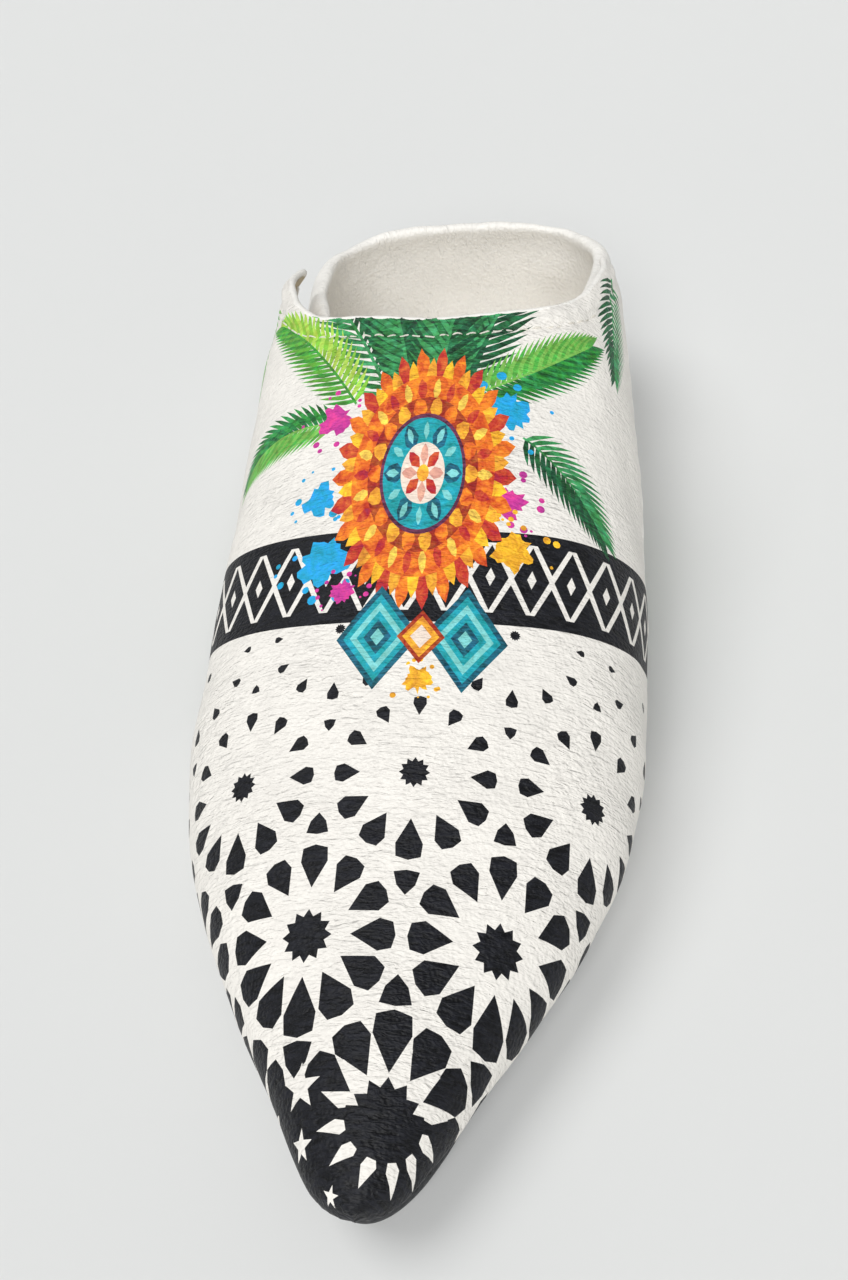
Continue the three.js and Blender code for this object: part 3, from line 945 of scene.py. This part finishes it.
def pebbled_leather(name, roughness, colour):
    """The sole's black leather: round pebbles under a soft sheen, scuffed a little."""
    shader = Shader(name, roughness, Specular_IOR_Level=0.45)
    even = shader.place()
    broad = shader.noise(even, 0.03, 3)
    fine = shader.noise(even, 0.0009, 3, 0.6)
    scuffs = shader.noise(shader.place(stretch=(1, 0.12, 1)), 0.004, 4, 0.7)
    normal = shader.bumps((shader.cells(even, 0.0011), 0.00016), (fine, 0.00008), (broad, 0.0014))
    shade = shader.add(shader.spread(broad, 0.8, 1.15), shader.spread(scuffs, 0, 1, 0.58, 0.8), 0.45)
    worn = shader.add(shader.spread(fine, roughness - 0.05, roughness + 0.07), scuffs, 0.08)
    return shader.finish(colour, shade, normal, worn)


def napped_leather(name, roughness, colour):
    """Unfinished lining skin: a short nap with soft blotches."""
    shader = Shader(name, roughness, Sheen_Weight=0.25, Specular_IOR_Level=0.25)
    even = shader.place()
    nap = shader.noise(even, 0.0006, 4, 0.7)
    blotches = shader.noise(even, 0.012, 4, 0.6)
    shade = shader.add(shader.spread(blotches, 0.86, 1.06), shader.spread(nap, -1, 1), 0.06)
    worn = shader.spread(nap, roughness - 0.06, roughness + 0.06)
    return shader.finish(colour, shade, shader.bumps((nap, 0.00016), (blotches, 0.0009)), worn)


def sewing_thread(name, roughness, colour):
    """Waxed thread with its twist showing as short slanting ridges."""
    shader = Shader(name, roughness, Specular_IOR_Level=0.4)
    twist = shader.noise(shader.place(stretch=(1, 1, 2.5)), 0.0004)
    return shader.finish(colour, shader.spread(twist, 0.75, 1.15), shader.bumps((twist, 0.00012)))


printed_leather = wrinkled_leather("printed_leather", 0.46)
white_leather = wrinkled_leather("white_leather", 0.5, linear("#f7f4ee"), 0.0006)
insole_leather = wrinkled_leather("insole_leather", 0.6, linear("#e9e3d6"), 0.0002, on_chart=False)
sole_leather = pebbled_leather("sole_leather", 0.47, linear("#16181d"))
lining_leather = napped_leather("lining_leather", 0.8, linear("#c3b291"))
black_thread = sewing_thread("black_thread", 0.55, linear("#141416"))
white_thread = sewing_thread("white_thread", 0.6, linear("#e4dfd4"))


# ---- The vamp ----
VAMP_END = 252
vamp_chart = Chart(vamp_surface, TOE_OVERHANG, VAMP_END)
WING_FOOT = 121  # where the wing's edge meets the sole
THROAT_SEAM = 5.6  # the stitches' distance from the throat's edge
HEM_MIDDLE = 2.6  # the distance from the edge at which the folded hem is thickest

# u, v, turn, half length, half width, depth: round the throat and the waist, the two corners of
# the throat that curl out, then the sides and the toe.
VAMP_CREASES = (
    (-30, 205, 12, 26, 5, -0.5),
    (34, 228, -20, 18, 5, -0.6),
    (38, 214, -28, 16, 4, 0.4),
    (-44, 226, 35, 15, 4, 0.45),
    (-58, 176, 60, 26, 6, -0.7),
    (60, 182, -62, 24, 6, -0.7),
    (0, 200, 2, 30, 6, -0.35),
    (-49, 247, 40, 9, 12, 2.4),
    (49, 247, -40, 9, 12, 1.6),
    (-66, 120, 70, 24, 5, -0.5),
    (68, 124, -72, 22, 5, -0.5),
    (-26, 118, 4, 20, 4, -0.25),
    (30, 104, -6, 22, 4, -0.25),
    (8, 66, 3, 18, 4, -0.2),
    (-10, 30, -8, 12, 3, -0.2),
    (14, 12, 14, 10, 2.5, -0.2),
)


def wing_edge(start, end, count):
    """Flat points on the vamp's edge, from place start to place end on the right side."""
    place = np.linspace(start, end, count)
    return vamp_chart.flat(sole_angle(vamp_edge_at(place)), place)


def both_sides(right):
    """A right-hand line from the middle outwards, carried on over the left side too."""
    return np.concatenate([right[:0:-1] * [-1, 1], right])


def gap_to(flat, line):
    """Each flat point's distance from a closely drawn line."""
    parts = np.array_split(flat, 60)
    return np.concatenate([np.linalg.norm(part[:, None] - line, axis=2).min(1) for part in parts])


throat_line = both_sides(wing_edge(0, EAR_PLACE, 90))
vamp_edge_line = both_sides(wing_edge(0, 1, 150))


class Vamp(Leather):
    """The vamp, with a puckered hem along the throat that its seam pulls in."""

    def height(self, flat):
        gap = gap_to(flat, throat_line)
        hem = 0.4 * np.exp(-(((gap - HEM_MIDDLE) / 1.7) ** 2))
        seam = 0.6 * np.exp(-((gap - THROAT_SEAM) ** 2))
        pucker = 1 + 0.5 * np.sin(flat[:, 0] * 1.55) + 0.3 * np.sin(flat[:, 0] * 0.61 + 1)
        return super().height(flat) + (hem - seam) * pucker


def vamp_outline():
    angle = np.linspace(0, sole_angle(WING_FOOT), 110)
    foot = vamp_chart.flat(angle, np.ones(len(angle)))
    right = np.concatenate([foot, wing_edge(1, 0, 160)[1:]])
    return np.concatenate([right, right[-2::-1] * [-1, 1]])


vamp_leather = Vamp(vamp_chart, VAMP_CREASES, seed=3, unevenness=0.22)


def make_skin(name, leather, outline, shapes, spacing, lining):
    """A printed piece of leather, and its lining on the inside of the wall."""
    flat, faces, inks = inked_skin(outline, shapes, spacing, WHITE)
    points, normals = leather.place(flat)
    faces = [face[:: leather.outward] for face in faces]
    make_piece(name, points, faces, printed_leather, "printed_leather", ("upper",), inks, flat, normals)
    flat, faces, _ = inked_skin(outline, [], LINING_SPACING)
    points, normals = leather.place(flat, WALL)
    faces = [face[:: -leather.outward] for face in faces]
    make_piece(name + "_lining", points, faces, lining, "lining", flat=flat, normals=-normals)


def make_edge_bead(name, leather, line, radius):
    """The folded edge of a leather piece, as a soft rod along a flat line."""
    path, sides = resample(line, 1.2), 10
    middle, normals = leather.place(path, WALL / 2)
    swell = radius * (1 + 0.06 * np.sin(np.arange(len(path)) * 0.9))
    points, faces = tube(middle, swell, sides, normals)
    make_piece(name, points, faces, white_leather, "white_leather", flat=np.repeat(path, sides, axis=0))


# ---- Stitches ----
THREAD_SIDES = 6
RUNNING_GAP = 0.9
RUNNING_RADIUS = 0.24
THROAT_SEAM_HALF = 46  # the throat's stitches end at this u on both sides
WHIP_PITCH = 4.2
WHIP_RADIUS = 0.42
WHIP_SLANT = 1.6  # how far a stitch has moved on where it enters the sole
VAMP_STITCH_PLACE = 0.93
BACK_STITCH_PLACE = 0.08
# A whip stitch comes out of the upper at these heights over the leather, and then goes over the
# sole's edge: its share of the slant, how far out it is, and its height over the sole's top.
WHIP_ON_UPPER = (-0.8, 0.35)
WHIP_ON_SOLE = ((0.35, -1.525, 0.9), (0.7, -0.55, 0.25), (1, 0.15, -1.0), (1, -0.45, -2.4))


def running_stitches(leather, line, stitch, depth=0.0):
    """Short threads along a flat line, each diving into the leather at both ends."""
    step, pitch = 0.2, stitch + RUNNING_GAP
    path = resample(line, step)
    share = np.array([0, 0.12, 0.3, 0.5, 0.7, 0.88, 1])
    lift = RUNNING_RADIUS * (1.5 * np.sin(math.pi * share) ** 0.5 - 0.9)
    rods = []
    for k in range(int((len(path) - 1) * step / pitch)):
        at = (k * pitch + RUNNING_GAP / 2 + share * stitch) / step
        middle, normals = leather.place(line_at(at, np.arange(len(path)), path), depth)
        rods.append(tube(middle + normals * lift[:, None], RUNNING_RADIUS, THREAD_SIDES, normals))
    return rods


def make_stitches(name, rods, thread):
    make_piece(name, *joined(rods), thread, "thread")


def make_throat_stitches():
    ways = np.gradient(throat_line, axis=0)
    inward = unit(np.stack([ways[:, 1], -ways[:, 0]], -1))
    seam = throat_line + inward * THROAT_SEAM
    seam = seam[np.abs(seam[:, 0]) < THROAT_SEAM_HALF]
    make_stitches("throat_stitches", running_stitches(vamp_leather, seam, 2.5), white_thread)


def whip_stitches(surface, upper_place, start, end, side, proud=0.0):
    """Threads that wrap from the upper's lower edge over onto the sole's edge, between two
    angles. proud is how much further out the leather stands than the surface."""
    rods = []
    for angle in spaced_angles(start, end, WHIP_PITCH):
        slant = WHIP_SLANT / (SOLE_LENGTH / 2 * max(0.25, math.sin(angle)))
        path = [surface(angle, np.array(upper_place), -out - proud) for out in WHIP_ON_UPPER]
        for share, out, height in WHIP_ON_SOLE:
            x, at = sole_edge(min(angle + share * slant, math.pi), out)
            path.append([x, at, sole_top(at) + height])
        path = np.array(path, float) * [side, 1, 1] - [0, LENGTH / 2, 0]
        rods.append(tube(path, WHIP_RADIUS, THREAD_SIDES, [0, 0.1, 1]))
    return rods


def spaced_angles(start, end, step):
    """Angles along the sole's edge, evenly spaced by length."""
    angles = np.linspace(start, end, 400)
    x, at = sole_edge(angles, 0)
    along = np.concatenate([[0], np.hypot(np.diff(x), np.diff(at)).cumsum()])
    return np.interp(np.arange(step / 2, along[-1], step), along, angles)


def make_sole_stitches():
    wing, seam = sole_angle(WING_FOOT), sole_angle(HEEL_SEAM)
    rods = []
    for side in (1, -1):
        rods += whip_stitches(vamp_surface, VAMP_STITCH_PLACE, 0, wing, side)
        rods += whip_stitches(back_surface, BACK_STITCH_PLACE, wing, seam, side)
        rods += whip_stitches(back_surface, BACK_STITCH_PLACE, seam, math.pi, side, LAP)
    make_stitches("sole_stitches", rods, black_thread)


# ---- The quarters and the wall round the heel ----
WALL_START = 95
QUARTER_FOOT_START = 100
QUARTER_TOP_START = 160
HEEL_SEAM = 216
HEEL_SEAM_BOW = 5
QUARTER_END = HEEL_SEAM + 3  # the quarters reach a little under the heel piece
TOPLINE_RADIUS = 1.02
wall_chart = Chart(back_surface, WALL_START, SOLE_END)

WALL_CREASES = (
    (22, 58, 80, 18, 4, -0.6),
    (30, 84, 75, 16, 4, -0.5),
    (16, 100, 60, 14, 4, 0.4),
    (38, 108, 85, 15, 4, -0.5),
    (-24, 62, -78, 18, 4, -0.6),
    (-34, 90, -70, 16, 4, -0.5),
    (-14, 96, -62, 14, 4, 0.4),
    (-38, 112, -84, 15, 4, -0.5),
)
wall_leather = Leather(wall_chart, WALL_CREASES, seed=11, unevenness=0.3, outward=-1)


def wall_flat(at, place, side):
    flat = wall_chart.flat(sole_angle(np.asarray(at, float)), np.asarray(place, float))
    return flat * [side, 1]


def quarter_outline(side):
    place = np.linspace(0, 1, 40)
    front = wall_flat(mix(QUARTER_FOOT_START, QUARTER_TOP_START, place), place, side)
    top = wall_flat(np.linspace(QUARTER_TOP_START, QUARTER_END, 50), np.ones(50), side)
    back = wall_flat(np.full(40, QUARTER_END), place[::-1], side)
    foot = wall_flat(np.linspace(QUARTER_END, QUARTER_FOOT_START, 90), np.zeros(90), side)
    return np.concatenate([front, top[1:], back[1:], foot[1:-1]])


def make_quarter(name, side):
    shapes = [(shape * [side, 1], ink) for shape, ink in all_of(frond, QUARTER_LEAVES)]
    spacing = SKIN_SPACING * 1.15
    make_skin(name, wall_leather, quarter_outline(side), shapes, spacing, white_leather)
    top = wall_flat(np.linspace(QUARTER_TOP_START, QUARTER_END, 60), np.ones(60), side)
    make_edge_bead(name + "_topline", wall_leather, top, TOPLINE_RADIUS)


# ---- The heel piece ----
HEEL_SWELL = 1.5  # how far from its front edge the heel piece is at its full thickness
HEEL_REACH = 75  # about how far it is from there round to the middle of the heel
HEEL_LINING = 1.3  # the soft leather that comes down inside the wall
HEEL_HAIR = 0.05  # what keeps the leather off the wall at its front edge
RIM_LENGTH = 6.3  # round the rim, on the chart
HEEL_MIDDLE = wall_chart.along[-1]
HEEL_STITCH_INSET = 2.6
# Height up the heel, way round it from its middle line (right is above zero), turn, half length,
# half width and depth.
HEEL_CREASES = (
    (14, 78, 8, 12, 2.6, -0.5),
    (24, 75, -5, 14, 2.4, -0.7),
    (34, 79, 6, 12, 2.4, -0.6),
    (28, 69, 12, 16, 3.2, 0.5),
    (18, 66, -10, 13, 3, -0.5),
    (38, 64, 2, 12, 3, -0.45),
    (44, 40, 65, 16, 3.5, -0.5),
    (12, 46, 75, 16, 3.5, -0.4),
    (15, -77, -8, 12, 2.6, -0.55),
    (25, -74, 5, 14, 2.4, -0.7),
    (35, -78, -6, 12, 2.4, -0.6),
    (28, -67, -14, 16, 3.2, 0.5),
    (19, -64, 10, 13, 3, -0.5),
    (40, -44, -70, 16, 3.5, -0.5),
    (12, -38, -76, 16, 3.5, -0.4),
)


def heel_seam_at(place):
    return HEEL_SEAM - HEEL_SEAM_BOW * np.sin(math.pi * place)


class HeelFace(Leather):
    """The heel piece's outside, on the wall's chart. Its creases are given by height and way
    round, so a flat point of the chart is turned into these first."""

    def height(self, flat):
        round_heel = np.sign(flat[:, 0]) * (HEEL_MIDDLE - flat[:, 1])
        return super().height(np.stack([np.abs(flat[:, 0]), round_heel], -1))


heel_face = HeelFace(wall_chart, HEEL_CREASES, seed=21, unevenness=0.35, outward=-1)


def heel_section(share, side, place, depth):
    """A line up the heel piece, at a share of the way from its front edge to its middle: points
    with x outwards, and their height up the heel and way round it."""
    angle = mix(sole_angle(heel_seam_at(place)), math.pi, share)
    flat = wall_chart.flat(angle, place)
    flat[:, 1] = side * (HEEL_MIDDLE - flat[:, 1])
    return np.stack(back_surface(angle, place, depth), -1), flat


def heel_row(share, side):
    """A row of the heel piece: up the outside, over a full round rim and down the inside."""
    swell = math.sqrt(max(0, 1 - (1 - min(1, share * HEEL_REACH / HEEL_SWELL)) ** 2))
    over = -HEEL_HAIR - (LAP - HEEL_HAIR) * swell
    under = WALL + HEEL_HAIR + HEEL_LINING * swell
    outside, outside_flat = heel_section(share, side, np.linspace(0, 1, 26), over)
    inside_wall, inside_flat = heel_section(share, side, np.linspace(1, 0, 21), under)
    turns = np.linspace(0, math.pi, 13)[1:-1, None]
    middle = (outside[-1] + inside_wall[0]) / 2
    out = outside[-1] - middle
    rising = outside[-1] - outside[-3]
    rising *= np.linalg.norm(out) / np.linalg.norm(rising)
    puff = 1.15 + 0.12 * math.sin(share * 40) * math.sin(share * 17 + side)
    rim = middle + out * np.cos(turns) + rising * puff * np.sin(turns)
    rim_flat = outside_flat[-1] + turns * [2, 0]
    inside_flat = inside_flat * [-1, 1] + [2 * outside_flat[-1, 0] + RIM_LENGTH, 0]
    row = np.concatenate([outside, rim, inside_wall]) * [side, 1, 1] - [0, LENGTH / 2, 0]
    return row, np.concatenate([outside_flat, rim_flat, inside_flat])


def make_heel_piece():
    """One soft skin over the wall, closer drawn at its front edge."""
    shares = np.concatenate([[0, 0.004, 0.01, 0.018, 0.03], np.linspace(0.05, 1, 46)])
    sides = [(share, 1) for share in shares] + [(share, -1) for share in shares[-2::-1]]
    rows, flats = zip(*[heel_row(share, side) for share, side in sides])
    grid, flat = np.array(rows), np.concatenate(flats)
    normal = np.cross(np.gradient(grid, axis=0), np.gradient(grid, axis=1))
    normal /= np.maximum(np.linalg.norm(normal, axis=2, keepdims=True), 1e-9)
    rows, columns = grid.shape[:2]
    height = Leather.height(heel_face, flat)
    # The creases die out towards the front edges and the foot.
    edge = np.minimum(np.arange(rows), np.arange(rows)[::-1]) / 8
    foot = np.minimum(1, np.arange(columns) / 5)
    fade = np.minimum(1, edge)[:, None] * foot
    points = (grid + normal * (height.reshape(rows, columns) * fade)[..., None]).reshape(-1, 3)
    faces = grid_faces(rows, columns, flip=True)
    make_piece("heel_leather", points, faces, white_leather, "white_leather", ("heel_piece",), flat=flat)


def make_heel_stitches():
    place = np.linspace(0.04, 0.97, 60)
    rods = []
    for side in (1, -1):
        line = wall_flat(heel_seam_at(place) + HEEL_STITCH_INSET, place, side)
        rods += running_stitches(heel_face, line, 2.3, -LAP)
    make_stitches("heel_stitches", rods, white_thread)


# ---- The soles ----
def slab_piece(name, levels, across, material, slot, node, crown=None):
    """A slab on the sole's plan. levels go from the underside up round the edge to the top: how
    far in from the outline, and how high above the sole's underside. across is the number of
    points from side to side, and crown the top's own rise at a distance and a share of the
    half width."""
    angles = np.linspace(0, math.pi, 190)
    bottom, top = levels[0], levels[-1]
    shares = np.linspace(-1, 1, across)
    columns = [(bottom, share) for share in shares]
    columns += [(level, 1) for level in levels[1:-1]]
    columns += [(top, share) for share in shares[::-1]]
    columns += [(level, -1) for level in levels[-2:0:-1]]
    grid = []
    for (inset, height), share in columns:
        x, at = sole_edge(angles, -inset)
        z = rise(at) + height
        if crown is not None and (inset, height) == top:
            z = z + crown(at, share)
        grid.append(np.stack([x * share, at - LENGTH / 2, z], -1))
    grid = np.array(grid).transpose(1, 0, 2)
    faces = grid_faces(len(angles), len(columns), wrap=True, flip=True)
    make_piece(name, grid.reshape(-1, 3), faces, material, slot, (node,), weld=True)


def make_outsole():
    """The sole's lower edge is a quarter round, and its upper edge is eased."""
    edge = 4.6
    turns = np.linspace(0, math.pi / 2, 9)
    levels = [(edge * (1 - math.sin(t)), edge * (1 - math.cos(t))) for t in turns]
    levels += [(0.1, 5.6), (0.35, 6.6), (0.8, 7.4), (1.5, SOLE_THICKNESS)]
    slab_piece("outsole_leather", levels, 15, sole_leather, "sole_leather", "outsole")


def make_insole():
    """The insole's cover, pressed in a little under the heel and the ball of the foot. Its edge
    fills the corner under the lining, so it reaches past the board's own."""
    low = SOLE_THICKNESS + GAP
    levels = [(5.6, low), (5.2, low + 0.4), (1.2, low + 1.4), (0.4, low + 2.2), (0.6, INSOLE_TOP)]

    def dished(at, share):
        heel = np.exp(-(((at - 255) / 30) ** 2))
        ball = np.exp(-(((at - 95) / 34) ** 2))
        return -(0.9 * heel + 0.7 * ball) * (1 - share**2)

    slab_piece("insole_cover", levels, 21, insole_leather, "insole_leather", "insole", dished)


make_skin("vamp", vamp_leather, vamp_outline(), vamp_print(), SKIN_SPACING, lining_leather)
make_edge_bead("vamp_edge", vamp_leather, vamp_edge_line, 1.0)
make_throat_stitches()
make_quarter("quarter_right", 1)
make_quarter("quarter_left", -1)
make_heel_piece()
make_heel_stitches()
make_outsole()
make_insole()
make_sole_stitches()


# ---- Floor, light and camera, in metres ----
FLOOR_COLOUR = (0.74, 0.745, 0.735)
SKY_COLOUR = (0.93, 0.95, 0.97, 1)
SKY_STRENGTH = 0.26
CAMERA_PLACE = (0.056, -0.245, 0.285)
CAMERA_TARGET = (0.0, -0.012, 0.03)
CAMERA_ROLL = -10  # degrees
LENS = 40


def plain_floor():
    """A pale round floor that curves up into a low wall all round."""
    flat, curve, height = 2.2, 0.9, 1.3
    turns = np.linspace(0, math.pi / 2, 13)
    profile = [(0.6 * flat, 0), (0.9 * flat, 0)]
    profile += [(flat + curve * math.sin(t), curve * (1 - math.cos(t))) for t in turns]
    profile.append((flat + curve, height))
    sides = 96
    round_floor = np.arange(sides) * 2 * math.pi / sides
    points = [(r * math.cos(a), r * math.sin(a), z) for r, z in profile for a in round_floor]
    faces = [list(range(sides)), *grid_faces(len(profile), sides, wrap=True, flip=True)]
    mesh = bpy.data.meshes.new("floor")
    mesh.from_pydata(points, [], faces)
    mesh.polygons.foreach_set("use_smooth", [True] * len(mesh.polygons))
    shader = Shader("floor_paper", 0.9, Specular_IOR_Level=0.1)
    tone = shader.spread(shader.noise(shader.place(), 0.5), 0.985, 1.0)
    mesh.materials.append(shader.finish(FLOOR_COLOUR, tone, None))
    put_in_scene("floor", mesh)


def soft_light(name, way, spread, strength):
    """Even light from a wide patch of sky. way points from the shoe to the patch's middle."""
    light = bpy.data.lights.new(name, "SUN")
    light.angle = math.radians(spread)
    light.energy = strength
    put_in_scene(name, light).rotation_euler = Vector(way).to_track_quat("Z", "Y").to_euler()


def camera(place, target, roll, lens):
    """A camera at a place, turned to a target and then rolled by degrees about its own view."""
    view = bpy.data.cameras.new("camera")
    view.lens = lens
    view.clip_start = 0.01
    eye = put_in_scene("camera", view)
    turn = (Vector(target) - Vector(place)).to_track_quat("-Z", "Y").to_matrix().to_4x4()
    eye.matrix_world = Matrix.Translation(place) @ turn @ Matrix.Rotation(math.radians(roll), 4, "Z")
    bpy.context.scene.camera = eye


plain_floor()
world = bpy.data.worlds.new("studio")
world.use_nodes = True
sky = world.node_tree.nodes["Background"].inputs
sky["Color"].default_value = SKY_COLOUR
sky["Strength"].default_value = SKY_STRENGTH
bpy.context.scene.world = world
bpy.context.scene.view_settings.view_transform = "Standard"
soft_light("key", (-0.45, 0.0, 1.0), 34, 1.05)
soft_light("fill", (0.05, -0.85, 0.8), 38, 2.12)
camera(CAMERA_PLACE, CAMERA_TARGET, CAMERA_ROLL, LENS)
